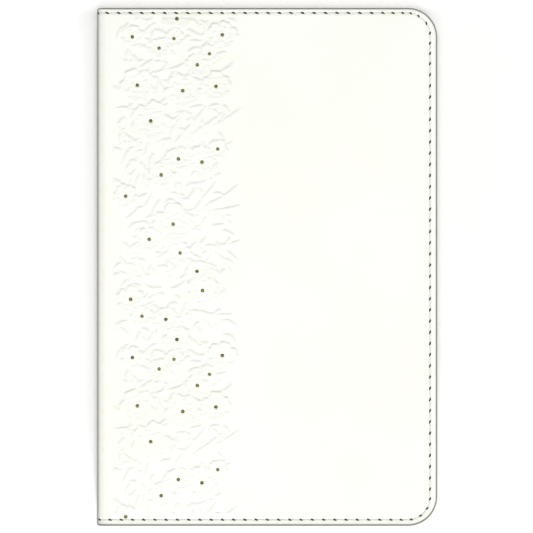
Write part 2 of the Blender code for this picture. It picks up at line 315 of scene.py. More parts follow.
# Sprays of narrow leaves: root, then tips with each leaf's half width and how far it bows
SPRAYS = (
    ((26.0, 47.5), ((50.5, 33.5, 1.5, 2.0), (44.5, 34.5, 1.3, 1.5), (38.0, 33.0, 1.3, 1.0),
                    (47.5, 45.5, 1.5, 3.0), (40.0, 50.0, 1.2, 2.5), (31.0, 36.0, 1.1, -1.5))),
    ((19.5, 17.5), ((9.5, 23.5, 1.3, -2.5), (10.5, 14.0, 1.2, 2.0), (13.5, 20.5, 1.0, -1.0))),
    ((17.5, 93.0), ((7.5, 84.0, 1.3, -2.0), (7.0, 90.0, 1.2, -1.0), (8.0, 96.5, 1.2, 1.5),
                    (14.0, 83.0, 1.1, -1.5))),
    ((33.0, 70.0), ((49.0, 60.0, 1.4, 2.0), (50.0, 67.5, 1.3, 1.5), (47.5, 75.5, 1.3, -1.5),
                    (42.0, 58.0, 1.2, 1.0))),
    ((36.0, 82.0), ((50.0, 79.5, 1.3, 1.5), (49.0, 87.5, 1.2, -1.5), (47.0, 94.0, 1.1, -2.0))),
    ((16.0, 47.0), ((8.0, 41.0, 1.1, -1.5), (7.5, 47.5, 1.1, 1.0), (9.0, 54.5, 1.1, 1.5))),
    ((32.0, 104.0), ((47.5, 105.0, 1.3, 1.5), (46.0, 110.5, 1.2, -1.0))),
)
BED_HEIGHT = 110.1  # from one print of the bed to the next
RELIEF = 0.3  # millimetres that the petals' rims stand up
PETAL_RIM, LEAF_RIM = 0.3, 0.28  # millimetres over which a rim rises
RIB_STEPS = 48
UNDERGROWTH_ACROSS, UNDERGROWTH_DOWN = np.arange(10.0, 45, 3.6), np.arange(2.0, BED_HEIGHT, 3.9)
scatter = np.random.default_rng(7)


def small_leaf(across, down):
    """A leaf that peeps out under the flowers, turned and bowed at random."""
    turn, length = math.radians(scatter.uniform(0, 360)), scatter.uniform(3.5, 7)
    half_width, bow = scatter.uniform(0.7, 1.1), scatter.uniform(-1.2, 1.2)
    root = (across + 1.2 * math.sin(down), down + 1.4 * math.cos(3 * across))
    tip = (root[0] + length * math.cos(turn), root[1] + length * math.sin(turn))
    return root, tip, half_width, bow


PRINTED_LEAVES = [small_leaf(across, down) for across in UNDERGROWTH_ACROSS for down in UNDERGROWTH_DOWN]
PRINTED_LEAVES += [(root, tip[:2], tip[2], tip[3]) for root, tips in SPRAYS for tip in tips]


def emboss_leaf(height, across, down, root, tip, half_width, bow):
    """One narrow leaf on a bowed rib: a rim all round, hollow along the rib."""
    run = np.array(tip) - np.array(root)
    side = np.array((-run[1], run[0])) / np.hypot(*run)
    along = np.linspace(0, 1, RIB_STEPS)[:, None]
    ribs = np.array(root) + run * along + side * bow * 4 * along * (1 - along)
    low, high = ribs.min(0) - 2 * half_width, ribs.max(0) + 2 * half_width
    near = np.nonzero((across > low[0]) & (across < high[0]) & (down > low[1]) & (down < high[1]))[0]
    if len(near) == 0:
        return
    gap = np.hypot(across[near, None] - ribs[None, :, 0], down[near, None] - ribs[None, :, 1])
    nearest = gap.argmin(1)
    away = gap[np.arange(len(near)), nearest]
    share = nearest / (len(ribs) - 1)
    width = half_width * np.sin(np.pi * np.clip(share, 0.02, 1) ** 0.8) ** 0.75
    inside = away < width
    body = smooth_step((width - away) / LEAF_RIM) * (0.5 + 0.3 * away / half_width)
    rib = 0.35 * np.exp(-((away / 0.2) ** 2)) * np.sin(np.pi * np.clip(share, 0, 0.95))
    height[near[inside]] = RELIEF * (body + rib)[inside]


def emboss_petals(height, across, down, centre, radius, petals, turn, lift):
    """A ring of round wavy petals laid over each other in turn, hollow at the foot and raised at the rim."""
    for petal in range(petals):
        angle = math.radians(turn) + 2 * math.pi * petal / petals + 0.1 * math.sin(5 * petal + radius)
        reach = radius * (0.56 + 0.04 * math.sin(3 * petal + turn))
        wide = radius * 2.15 / petals + 0.06 * radius
        dx = across - centre[0] - reach * math.cos(angle)
        dy = down - centre[1] - reach * math.sin(angle)
        near = np.nonzero((np.abs(dx) < 1.3 * wide) & (np.abs(dy) < 1.3 * wide))[0]
        if len(near) == 0:
            continue
        out = dx[near] * math.cos(angle) + dy[near] * math.sin(angle)
        side = -dx[near] * math.sin(angle) + dy[near] * math.cos(angle)
        around = np.arctan2(side, out)
        wavy = 1 + 0.05 * np.cos(5 * around + petal) + 0.03 * np.cos(9 * around + turn)
        notch = 0.13 * np.exp(-((around / 0.24) ** 2))
        rim = wide * (wavy - notch)
        inward = rim - np.hypot(out, side)
        inside = inward > 0
        share = np.clip(np.hypot(across[near] - centre[0], down[near] - centre[1]) / radius, 0, 1)
        fold = 0.3 * np.exp(-((side / (0.07 * radius)) ** 2)) * smooth_step((0.85 - share) * 4)
        cup = 0.25 + 0.75 * share**1.3
        height[near[inside]] = (lift * (smooth_step(inward / PETAL_RIM) * cup - fold))[inside]


def emboss_flower(height, across, down, centre, radius, petals, turn):
    """A double flower: rings of petals, each smaller than the one before, and a rimmed eye."""
    rings = 1 + (radius > 4) + (radius > 6.3)
    for ring in range(rings):
        size, way, lift = radius * 0.66**ring, turn + 180 * ring / petals, RELIEF * 0.9**ring
        emboss_petals(height, across, down, centre, size, petals, way, lift)
    away = np.hypot(across - centre[0], down - centre[1])
    eye = 0.12 * radius + 0.5
    boss = away < eye + 0.3
    height[boss] = RELIEF * (0.15 + 0.7 * np.exp(-(((away[boss] - eye) / 0.2) ** 2)))


def flowered_relief(x, y):
    """How far the embossed band stands up at these places on the front cover, in metres."""
    across, down = (x - SPINE_X) / MM, (HEAD_Y - y) / MM
    height = np.zeros(len(x))
    for top in (-BED_HEIGHT, 0, BED_HEIGHT):
        for root, tip, half_width, bow in PRINTED_LEAVES:
            emboss_leaf(height, across, down - top, root, tip, half_width, bow)
        for centre_across, centre_down, *flower in sorted(FLOWERS, key=lambda flower: -flower[2]):
            emboss_flower(height, across, down - top, (centre_across, centre_down), *flower)
    from_ends = np.minimum(down - 3.2, 2 * HEAD_Y / MM - 3.4 - down)
    from_sides = np.minimum(x - BAND_START - SPINE_X, BAND_END + SPINE_X - x) / MM - 0.1
    return height * smooth_step(from_ends / 1.2) * smooth_step(from_sides / 0.8) * MM


def smoothed(mesh, sharp_past):
    """Shades a mesh smooth, apart from edges that turn further than this many degrees."""
    mesh.shade_smooth()
    mesh.set_sharp_from_angle(angle=math.radians(sharp_past))
    return mesh


class Sheet:
    """Collects the points and faces of one closed skin, a grid at a time, and welds them at the end."""

    def __init__(self):
        self.points, self.faces, self.worn, self.count = [], [], [], 0

    def grid(self, x, y, z, worn=None):
        """Adds a grid of points; returns their numbers in the grid's shape. The last argument marks painted
        shade on the edges.
        """
        numbers = np.arange(x.size).reshape(x.shape) + self.count
        self.points.append(np.stack([x.ravel(), y.ravel(), z.ravel()], 1))
        self.worn.append(np.zeros(x.size) if worn is None else worn.ravel())
        self.count += x.size
        return numbers

    def quads(self, numbers):
        a, b, c, d = numbers[:-1, :-1], numbers[1:, :-1], numbers[1:, 1:], numbers[:-1, 1:]
        self.faces += np.stack([a.ravel(), b.ravel(), c.ravel(), d.ravel()], 1).tolist()

    def welded(self, name):
        mesh = bpy.data.meshes.new(name)
        mesh.from_pydata(np.concatenate(self.points).tolist(), [], self.faces)
        wear = mesh.attributes.new("edge_wear", "FLOAT", "POINT")
        wear.data.foreach_set("value", np.concatenate(self.worn))
        shape = bmesh.new()
        shape.from_mesh(mesh)
        bmesh.ops.remove_doubles(shape, verts=shape.verts, dist=0.002 * MM)
        bmesh.ops.recalc_face_normals(shape, faces=shape.faces)
        if shape.calc_volume(signed=True) < 0:
            bmesh.ops.reverse_faces(shape, faces=shape.faces)
        shape.to_mesh(mesh)
        shape.free()
        return smoothed(mesh, 70)


def sheet_section(run):
    """Place and outward normal of the sheet's outer face, at these distances from the split on the spine."""
    rise = THICKNESS - SPINE_ROUND - SPLIT_Z
    bend = SPINE_ROUND * math.pi / 2
    turn = np.clip((run - rise) / SPINE_ROUND, 0, math.pi / 2)
    flat = np.maximum(run - rise - bend, 0)
    x = SPINE_X + SPINE_ROUND - SPINE_ROUND * np.cos(turn) + flat
    z = SPLIT_Z + np.minimum(run, rise) + SPINE_ROUND * np.sin(turn)
    return x, z, -np.cos(turn), np.sin(turn)


def run_to(x):
    """The distance from the split at which the flat of the cover reaches this place across."""
    return THICKNESS - SPINE_ROUND - SPLIT_Z + SPINE_ROUND * math.pi / 2 + x - SPINE_X - SPINE_ROUND


def spaced(start, end, step):
    return np.linspace(start, end, max(2, round((end - start) / step) + 1))


def seam_inset(turn):
    """How far the seam lies from the edge, where the edge faces this way in degrees: 90 is the head."""
    if turn >= 0:
        return SEAM_FROM_FORE_EDGE + (SEAM_FROM_HEAD - SEAM_FROM_FORE_EDGE) * turn / 90
    return SEAM_FROM_FORE_EDGE + (SEAM_FROM_TAIL - SEAM_FROM_FORE_EDGE) * -turn / 90


BESIDE_SEAM = np.array((1.1, 0.75, 0.5, 0.36, 0.24, 0.12, 0, -0.12, -0.24, -0.36, -0.5)) * MM
GROOVE, GROOVE_HALF = 0.22 * MM, 0.27 * MM
EDGE_STEPS, CORNER_STEPS = 12, 18
FINE = 4  # rows under the flowers to one row elsewhere


def edge_profile(inset, skin, mid, edge_rows):
    """The folded edge from the outer face round to the turned-in strip: steps in from the edge and down."""
    half = skin / 2
    wide = min(0.85 * MM, half)
    near_rows = np.linspace(FORE_CORNER, inset + BESIDE_SEAM[0] + 0.3 * MM, edge_rows)
    outer = near_rows.tolist() + (inset + BESIDE_SEAM).tolist()
    line = [(step, GROOVE * math.exp(-(((step - inset) / GROOVE_HALF) ** 2))) for step in outer]
    for edge_step in range(EDGE_STEPS + 1):
        edge_turn = math.pi * edge_step / EDGE_STEPS
        line.append((wide * (1 - math.sin(edge_turn)), half * (1 - math.cos(edge_turn))))
    for beside in BESIDE_SEAM[[9, 8, 7, 6, 5, 4, 3, 1]]:
        depth = skin - 0.7 * GROOVE * math.exp(-((beside / GROOVE_HALF) ** 2))
        line.append((max(inset + beside, wide + 0.05 * MM), depth))
    return line + [(5 * MM, skin), (SPINE_TURN_IN, skin), (TURN_IN_WIDTH, mid)]


def edge_wear(inward, depth, skin, facing):
    """Where painted shade greys the leather: the outer half of its rounded edge, a little wider at the tail.
    """
    reach = 0.7 * MM + 0.27 * MM * np.clip(-np.sin(facing), 0, 1)
    return smooth_step((reach - inward) / (0.45 * MM)) * smooth_step((0.62 * skin - depth) / (0.2 * skin))


def cover_sheet(name, flowered):
    """The folded sheet of one cover, as the front cover, from the split on the spine to the fore-edge."""
    columns = np.concatenate([
        spaced(0, run_to(SPINE_X + SPINE_ROUND), 0.5 * MM),
        spaced(run_to(SPINE_X + SPINE_ROUND), run_to(POCKET_START), 0.6 * MM)[1:],
        run_to(SPINE_X + spaced(POCKET_START - SPINE_X, BAND_START, 0.5 * MM))[1:],
        run_to(SPINE_X + spaced(BAND_START, BAND_END, (0.43 if flowered else 3) * MM))[1:],
        run_to(spaced(SPINE_X + BAND_END, FORE_X - FORE_CORNER, 2.2 * MM))[1:],
    ])
    column_x, column_z, normal_x, normal_z = sheet_section(columns)

    def column_at(x):
        return int(np.searchsorted(columns, run_to(x) - 0.0001 * MM))

    pocket_column = column_at(POCKET_START)
    bed = range(column_at(SPINE_X + BAND_START), column_at(SPINE_X + BAND_END) + 1) if flowered else range(0)
    # Painted shade on the upper side of the spine's rounded bend, greyest at the back of the spine.
    spine_bend_shade = 0.9 * smooth_step(1 - (column_x - SPINE_X) / (1.3 * MM)) * (normal_z > 0.06)
    on_panel = smooth_step((column_x - SPINE_X - SPINE_ROUND * 0.4) / (POCKET_START - SPINE_X - 1 * MM))
    end_skin = SPINE_END_SKIN + (COVER - SPINE_END_SKIN) * on_panel
    mid_skin = SPINE_SKIN + (COVER - SPINE_SKIN) * on_panel
    mid_skin[pocket_column:] = end_skin[pocket_column:] = COVER

    # The way round the edge, as stations: the sheet's own column, the way that the edge faces in degrees,
    # and the place up. Past the last column, -1, they follow the round corners and the fore-edge.
    cells = round((2 * HEAD_Y - 2 * FORE_CORNER) / ((0.28 if flowered else 0.6) * FINE * MM))
    rows = np.linspace(-HEAD_Y + FORE_CORNER, HEAD_Y - FORE_CORNER, cells * FINE + 1)
    corner_turns = np.linspace(90, 0, CORNER_STEPS + 1)[1:]
    stations = [(column, 90.0, 0) for column in range(len(columns))]
    stations += [(-1, turn, HEAD_Y - FORE_CORNER) for turn in corner_turns]
    stations += [(-1, 0.0, y) for y in rows[::-FINE][1:-1]]
    stations += [(-1, -turn, -HEAD_Y + FORE_CORNER) for turn in corner_turns[::-1]]
    stations += [(column, -90.0, 0) for column in range(len(columns))[::-1]]

    edge_rows = 24 if flowered else 4
    lines = np.array([
        edge_profile(seam_inset(turn), end_skin[at], mid_skin[at], edge_rows) for at, turn, y in stations
    ])
    inward, depth = lines[:, :, 0], lines[:, :, 1]
    column, facing, row_y = (np.array(values) for values in zip(*stations))
    facing = np.radians(facing)
    limit_x = np.where(column >= 0, column_x[column], FORE_X)

    def from_edge(inset, at):
        """Place across and up of the sheet at these stations, so far in from its edge."""
        reach = np.maximum(inset, FORE_CORNER)
        radius = np.maximum(FORE_CORNER - inset, 0)
        way = facing[at][:, None]
        x = np.minimum(limit_x[at][:, None], FORE_X - reach + radius * np.cos(way))
        on_end = np.sign(np.sin(way)) * (HEAD_Y - reach + radius * np.abs(np.sin(way)))
        on_side = np.clip(row_y[at][:, None], reach - HEAD_Y, HEAD_Y - reach)
        return x, np.where(way == 0, on_side, on_end)

    x, y = from_edge(inward, np.arange(len(stations)))
    lift = -depth
    if flowered:
        raised = (slice(None), slice(edge_rows + len(BESIDE_SEAM)))
        lift[raised] += flowered_relief(x[raised].ravel(), y[raised].ravel()).reshape(lift[raised].shape)
    # Painted shade on the rims, and on the turned strip beside the spine.
    arris_shade = edge_wear(inward, depth, end_skin[column][:, None], facing[:, None])
    turned = spine_bend_shade[column][:, None] * (depth < 0.6 * MM)
    x = x + normal_x[column][:, None] * lift
    z = column_z[column][:, None] + normal_z[column][:, None] * lift
    sheet = Sheet()
    rim = sheet.grid(x, y, z, np.maximum(arris_shade, turned))
    sheet.quads(rim)

    # The broad outer face between the edges: fine rows under the flowers and coarse ones elsewhere
    relief = np.zeros((len(columns), len(rows)))
    if flowered:
        bed_x, bed_y = np.meshgrid(column_x[bed], rows, indexing="ij")
        relief[bed] = flowered_relief(bed_x.ravel(), bed_y.ravel()).reshape(bed_x.shape)
    strips = []
    for number in range(len(columns)):
        every = 1 if number in bed else FINE
        up = relief[number, ::every]
        x, z = column_x[number] + normal_x[number] * up, column_z[number] + normal_z[number] * up
        strips.append(sheet.grid(x, rows[::every], z, np.full(x.shape, spine_bend_shade[number])))
    for left, right in zip(strips, strips[1:]):
        if len(left) == len(right):
            sheet.quads(np.stack([left, right]))
            continue
        coarse, dense = (left, right) if len(left) < len(right) else (right, left)
        for cell in range(cells):
            span = dense[cell * FINE : (cell + 1) * FINE + 1].tolist()
            sheet.faces.append([int(coarse[cell]), int(coarse[cell + 1])] + span[::-1])

    # Inside: the strip beside the spine, then the pocket for the board with its window
    inner = rim[:, -1]
    for number in range(pocket_column):
        mirror = len(stations) - 1 - number
        sheet.faces.append([int(inner[at]) for at in (number, number + 1, mirror - 1, mirror)])
    around = np.arange(pocket_column, len(stations) - pocket_column)
    ring = inner[around]
    lip = COVER - TURN_IN
    for inset, down in ((TURN_IN_WIDTH, lip), (POCKET_EDGE, lip), (POCKET_EDGE, SKIN)):
        x, y = from_edge(inset, around)
        next_ring = sheet.grid(x, y, np.full(x.shape, THICKNESS - down))[:, 0]
        wall = np.stack([ring, next_ring], 1)
        sheet.quads(np.concatenate([wall, wall[:1]]))
        ring = next_ring
    sheet.faces.append(ring.tolist())

    # The cut end on the spine, which meets the middle of the spine
    sheet.faces.append(np.concatenate([strips[0], rim[0, 1:], rim[-1, :0:-1]]).tolist())
    return sheet.welded(name)


def as_back(mesh):
    """Turns a piece of the front cover over into the same piece of the back cover."""
    mesh.transform(Matrix.Translation((0, 0, THICKNESS)) @ Matrix.Diagonal((1, 1, -1, 1)))
    mesh.flip_normals()
    return mesh


def bends_with_cover(piece):
    """Bakes the piece's place into its own mesh."""
    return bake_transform(piece)


for side_name in ("front", "back"):
    leather_mesh = cover_sheet(side_name + "_cover_leather", side_name == "front")
    if side_name == "back":
        as_back(leather_mesh)
    cover_leather = piece_of(side_name + "_cover_leather", leather_mesh, ivory.material)
    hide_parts(side_name + "_cover_skin", side_name + "_spine_skin")
    bends_with_cover(cover_leather)


# --- Middle of the spine --------------------------------------------------------------
# The same ivory leather carries on across the back of the spine between the two covers' sheets. It creases
# along the middle when the book is laid open.

def spine_strip(name):
    head = edge_profile(SEAM_FROM_HEAD, SPINE_END_SKIN, SPINE_SKIN, 4)
    tail = edge_profile(SEAM_FROM_TAIL, SPINE_END_SKIN, SPINE_SKIN, 4)
    outline = [(HEAD_Y - step, depth, step) for step, depth in head]
    outline += [(step - HEAD_Y, depth, step) for step, depth in tail[::-1]]
    y, depth, inward = np.array(outline).T
    crease = 1.5 * MM
    heights = np.concatenate([
        np.linspace(THICKNESS - SPLIT_Z, MIDDLE_Z - crease, 6),
        np.linspace(MIDDLE_Z - crease, MIDDLE_Z + crease, 31)[1:-1],
        np.linspace(MIDDLE_Z + crease, SPLIT_Z, 6),
    ])
    facing = np.where(y > 0, math.pi / 2, -math.pi / 2)
    # Painted shade on the rounded head and tail edges of the strip.
    worn = edge_wear(inward, depth, SPINE_END_SKIN, facing)
    sheet = Sheet()
    rings = sheet.grid(*np.broadcast_arrays(SPINE_X + depth, y, heights[:, None], worn))
    sheet.quads(np.concatenate([rings, rings[:, :1]], 1))
    sheet.faces += [rings[0].tolist(), rings[-1].tolist()]
    return sheet.welded(name)


spine_leather = piece_of("spine_leather", spine_strip("spine_leather"), ivory.material)
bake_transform(spine_leather)


# --- Gold foil centres ----------------------------------------------------------------
# A spot of gold foil is stamped into the eye of every flower of the front cover.

class Tree:
    """A Geometry Nodes tree with named inputs for its sizes."""

    def __init__(self, name, **sizes):
        self.tree = bpy.data.node_groups.new(name, "GeometryNodeTree")
        face = self.tree.interface
        face.new_socket("Geometry", in_out="OUTPUT", socket_type="NodeSocketGeometry")
        face.new_socket("Geometry", in_out="INPUT", socket_type="NodeSocketGeometry")
        for label, size in sizes.items():
            kind = "NodeSocketInt" if isinstance(size, int) else "NodeSocketFloat"
            socket = face.new_socket(label.replace("_", " "), in_out="INPUT", socket_type=kind)
            socket.default_value = size
        self.given = self.tree.nodes.new("NodeGroupInput").outputs

    def add(self, kind, sockets=(), **settings):
        node = self.tree.nodes.new(kind)
        for setting, value in settings.items():
            setattr(node, setting, value)
        for socket, value in dict(sockets).items():
            if isinstance(value, bpy.types.NodeSocket):
                self.tree.links.new(value, node.inputs[socket])
            else:
                node.inputs[socket].default_value = value
        return node

    def math(self, operation, first, second):
        return self.add("ShaderNodeMath", {0: first, 1: second}, operation=operation).outputs[0]

    def share(self, size, share):
        """A named size of the tree, times this number."""
        return self.math("MULTIPLY", self.given[size], share)

    def vector(self, x=0.0, y=0.0, z=0.0):
        return self.add("ShaderNodeCombineXYZ", {"X": x, "Y": y, "Z": z}).outputs[0]

    def scattered(self, low, high, seed):
        sockets = {"Min": low, "Max": high, "Seed": seed}
        return self.add("FunctionNodeRandomValue", sockets, data_type="FLOAT_VECTOR").outputs[0]

    def row(self, count, step):
        return self.add("GeometryNodeMeshLine", {"Count": self.given[count], "Offset": step}).outputs[0]

    def copies(self, points, shape, turn=(0, 0, 0)):
        sockets = {"Points": points, "Instance": shape, "Rotation": turn}
        return self.add("GeometryNodeInstanceOnPoints", sockets).outputs[0]

    def pebble(self, scale, place=(0, 0, 0), turn=(0, 0, 0), segments=8, rings=5):
        """A ball pressed into shape."""
        ball = self.add("GeometryNodeMeshUVSphere", {"Segments": segments, "Rings": rings, "Radius": 1.0})
        pressed = {"Geometry": ball.outputs["Mesh"], "Scale": scale, "Translation": place, "Rotation": turn}
        return self.add("GeometryNodeTransform", pressed).outputs[0]

    def marked(self, geometry, label, value):
        sockets = {"Geometry": geometry, "Name": label, "Value": value}
        return self.add("GeometryNodeStoreNamedAttribute", sockets, data_type="FLOAT").outputs[0]

    def ends(self, copies, material, smooth=True):
        """Makes the copies real, paints them and puts them out."""
        made = self.add("GeometryNodeRealizeInstances", {"Geometry": copies}).outputs[0]
        if smooth:
            made = self.add("GeometryNodeSetShadeSmooth", {"Geometry": made}).outputs[0]
        painted = self.add("GeometryNodeSetMaterial", {"Geometry": made, "Material": material})
        self.tree.links.new(painted.outputs[0], self.tree.nodes.new("NodeGroupOutput").inputs[0])

    def grown(self, name, mesh, **sizes):
        """The tree's result on this mesh, with these sizes, as a plain piece."""
        made = bpy.data.objects.new(name, mesh)
        bpy.context.scene.collection.objects.link(made)
        modifier = made.modifiers.new(name, "NODES")
        modifier.node_group = self.tree
        for item in self.tree.interface.items_tree:
            if item.in_out == "INPUT" and item.name.replace(" ", "_") in sizes:
                modifier[item.identifier] = sizes[item.name.replace(" ", "_")]
        bpy.context.view_layer.update()
        whole = made.evaluated_get(bpy.context.evaluated_depsgraph_get())
        plain = bpy.data.meshes.new_from_object(whole)
        made.modifiers.clear()
        made.data = plain
        return made


gold = Finish("gold_foil", (0.2, 0.16, 0.05), 0.4, Metallic=0.8)
# Painted shade: the foil's gold is darkened to a dark olive, standing in for the dark surroundings that the
# foil mirrors.
gold.coloured(gold.noise(1500), (0.06, 0.05, 0.01), (0.21, 0.17, 0.04), 0.35, 0.65)
gold.bump(gold.noise(3000), 0.03 * MM)

foil_tree = Tree("foil_spots", Width=1.28 * MM, Dome=0.12 * MM)
foil_half = foil_tree.share("Width", 0.5)
foil_size = foil_tree.vector(foil_half, foil_half, foil_tree.given["Dome"])
foil_dome = foil_tree.pebble(foil_size, segments=12, rings=6)
foil_tree.ends(foil_tree.copies(foil_tree.given["Geometry"], foil_dome), gold.material)

BED_END = 176.0  # the lowest place for a flower's eye, in millimetres from the head
flower_eyes = []
for bed_down in (0, BED_HEIGHT):
    for flower in FLOWERS:
        eye_down = flower[1] + bed_down
        if eye_down < BED_END:
            flower_eyes.append((SPINE_X + flower[0] * MM, HEAD_Y - eye_down * MM, THICKNESS + 0.05 * MM))
eyes_mesh = bpy.data.meshes.new("flower_eyes")
eyes_mesh.from_pydata(flower_eyes, [], [])
foil = foil_tree.grown("gold_foil_centres", eyes_mesh)
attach(foil, "front_cover")


# --- Seams ----------------------------------------------------------------------------
# A lockstitch in pale thread, sewn through each cover and over the ends of the spine. Every
# stitch lies in the groove and dives slantwise into a needle hole, which holds a near-black painted shadow;
# the thread greys towards it as painted shade.

thread = Finish("seam_thread", (0.6, 0.6, 0.54), 0.6)
# Painted shade: the mark greys the thread towards each needle hole and makes the hole's pebble a near-black
# painted shadow.
thread.coloured(thread.mark("dive"), (0.8, 0.8, 0.73), (0.03, 0.03, 0.012), 0.2, 0.8)
thread.bump(thread.waves(1500, thread.stretched((1, 1, 0.3)), "DIAGONAL"), 0.04 * MM)

seam_tree = Tree(
    "stitched_seam", Stitches=30, Pitch=3.9 * MM, Thread=0.4 * MM,
    Hole_Length=1.5 * MM, Hole_Width=0.68 * MM, Slant=0.42,
)
strand = seam_tree.share("Thread", 0.5)
pale_size = seam_tree.vector(seam_tree.share("Pitch", 0.36), strand, strand)
pale = seam_tree.pebble(pale_size, seam_tree.vector(seam_tree.share("Pitch", -0.45)), rings=8)
# The dark pebble in each needle hole is a painted shadow, not thread.
dark_size = seam_tree.vector(
    seam_tree.share("Hole Length", 0.5), seam_tree.share("Hole Width", 0.5), seam_tree.share("Thread", 0.6)
)
dark = seam_tree.pebble(dark_size, turn=seam_tree.vector(0.0, 0.0, seam_tree.share("Slant", -1.0)), rings=7)
place_on_stitch = seam_tree.add("GeometryNodeInputPosition").outputs[0]
along_stitch = seam_tree.add("ShaderNodeSeparateXYZ", {0: place_on_stitch}).outputs[0]
# The pale thread is marked darker towards the hole: painted shade.
to_hole = seam_tree.math("ADD", seam_tree.math("DIVIDE", along_stitch, seam_tree.given["Pitch"]), 0.55)
darkening = seam_tree.add("ShaderNodeClamp", {"Value": to_hole, "Max": 0.55}).outputs[0]
stitch = seam_tree.add("GeometryNodeJoinGeometry")
for strand_part, shade_mark in ((pale, darkening), (dark, 1.0)):
    seam_tree.tree.links.new(seam_tree.marked(strand_part, "dive", shade_mark), stitch.inputs[0])
needle_holes = seam_tree.row("Stitches", seam_tree.vector(seam_tree.given["Pitch"]))
seam_tree.ends(seam_tree.copies(needle_holes, stitch.outputs[0]), thread.material)

HEAD_RUN = run_to(FORE_X - FORE_CORNER)
HEAD_TURN = (FORE_CORNER - (SEAM_FROM_HEAD + SEAM_FROM_FORE_EDGE) / 2) * math.pi / 2
FORE_RUN = 2 * (HEAD_Y - FORE_CORNER)
TAIL_TURN = (FORE_CORNER - (SEAM_FROM_TAIL + SEAM_FROM_FORE_EDGE) / 2) * math.pi / 2
SEAM_RUN = HEAD_RUN + HEAD_TURN + FORE_RUN + TAIL_TURN + HEAD_RUN
SEAM_DEPTH = 0.12 * MM
STITCH = 3.87 * MM


def head_way(across_mm):
    return run_to(SPINE_X + across_mm * MM)


def fore_way(down_mm):
    return HEAD_RUN + HEAD_TURN + down_mm * MM - FORE_CORNER


# Stitches by number and their places along the run: longest along the head, shortest round the corners
STITCH_NUMBERS = (-3, 0, 24, 26, 28, 30, 33, 71, 75, 77, 102, 105)
STITCH_WAYS = (
    head_way(3.7) - 11.7 * MM, head_way(3.7), head_way(98.4), head_way(105.2),
    HEAD_RUN + 3.6 * MM, HEAD_RUN + 11.1 * MM, fore_way(19.2), fore_way(165.3),
    SEAM_RUN - head_way(108), SEAM_RUN - head_way(101.1),
    SEAM_RUN - head_way(4.6), SEAM_RUN - head_way(4.6) + 11.7 * MM,
)


def laid_in_seam(mesh, first, pitch, under):
    """Bends a straight row of stitches along the seam of the front cover, from this stitch's number on."""
    local = np.array([vertex.co for vertex in mesh.vertices])
    way = np.interp(local[:, 0] / pitch + first, STITCH_NUMBERS, STITCH_WAYS)
    rest = way - HEAD_RUN
    corners = (0, HEAD_TURN, HEAD_TURN + FORE_RUN, HEAD_TURN + FORE_RUN + TAIL_TURN)
    facing = np.interp(rest, corners, (90, 0, 0, -90))
    turn = np.radians(facing)
    inset = np.array([seam_inset(angle) for angle in facing])
    down_fore = np.clip(rest - HEAD_TURN, 0, FORE_RUN)
    flat_run = np.minimum(np.minimum(way, SEAM_RUN - way), HEAD_RUN)
    x, z, nx, nz = sheet_section(flat_run)
    x = x + (FORE_CORNER - inset) * np.cos(turn)
    y = HEAD_Y - FORE_CORNER - down_fore + (FORE_CORNER - inset) * np.sin(turn)
    lift = local[:, 2] - ((COVER - SEAM_DEPTH) if under else SEAM_DEPTH)
    out_x, out_y = np.where(flat_run < HEAD_RUN, 0, np.cos(turn)), np.sin(turn)
    laid = np.stack([x + out_x * local[:, 1] + nx * lift, y + out_y * local[:, 1], z + nz * lift], 1)
    mesh.vertices.foreach_set("co", laid.ravel())
    mesh.update()


for side_name in ("front", "back"):
    for under in (False, True):
        seam_name = side_name + ("_inner_seam" if under else "_outer_seam")
        first, count = (0, 103) if under else (-1, 105)
        seam = seam_tree.grown(seam_name, bpy.data.meshes.new(seam_name), Stitches=count, Pitch=STITCH)
        laid_in_seam(seam.data, first, STITCH, under)
        if side_name == "back":
            as_back(seam.data)
        if under:
            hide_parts(side_name + "_cover_inner_seam_thread")
        else:
            spine_ends = [side_name + "_spine_head_stitches", side_name + "_spine_tail_stitches"]
            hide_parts(side_name + "_cover_outer_seam_thread", *spine_ends)
        bends_with_cover(seam)

for end_name, end_y in (("head", HEAD_Y - SEAM_FROM_HEAD), ("tail", SEAM_FROM_TAIL - HEAD_Y)):
    seam_name = "spine_" + end_name + "_seam"
    spine_seam = seam_tree.grown(seam_name, bpy.data.meshes.new(seam_name), Stitches=4, Pitch=3.9 * MM)
    lowest = Matrix.Translation((SPINE_X + SEAM_DEPTH, end_y, MIDDLE_Z - 4.6 * MM))
    spine_seam.data.transform(lowest @ Matrix.Rotation(-math.pi / 2, 4, "Y"))
    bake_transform(spine_seam)


# --- Inside the covers ----------------------------------------------------------------
# A thin board lies loose in the pocket of each cover, behind a pasted-down endpaper with a fine laid grain.
# The spine holds a card inlay and the gauze that is glued over the folds and sewn through with linen.

def repainted(slot_finish, *nodes):
    for node in nodes:
        mesh = bpy.data.objects[node].data
        mesh.materials.clear()
        mesh.materials.append(slot_finish.material)


endpaper = Finish("endpaper", (0.83, 0.79, 0.68), 0.75, Specular_IOR_Level=0.2)
laid_grain = endpaper.mixed(0.5, endpaper.noise(350, 4.0), endpaper.waves(900, direction="X"))
endpaper.coloured(laid_grain, (0.8, 0.75, 0.62), (0.88, 0.85, 0.76), 0.3, 0.7)
endpaper.bump(endpaper.noise(1800), 0.02 * MM)
repainted(endpaper, "front_cover_lining", "back_cover_lining")

board = Finish("grey_board", (0.42, 0.4, 0.36), 0.9)
board.coloured(board.noise(1200, 5.0), (0.34, 0.32, 0.28), (0.5, 0.48, 0.43), 0.3, 0.7)
board.bump(board.noise(2500), 0.03 * MM)
repainted(board, "front_cover_board", "back_cover_board", "front_spine_inlay", "back_spine_inlay")

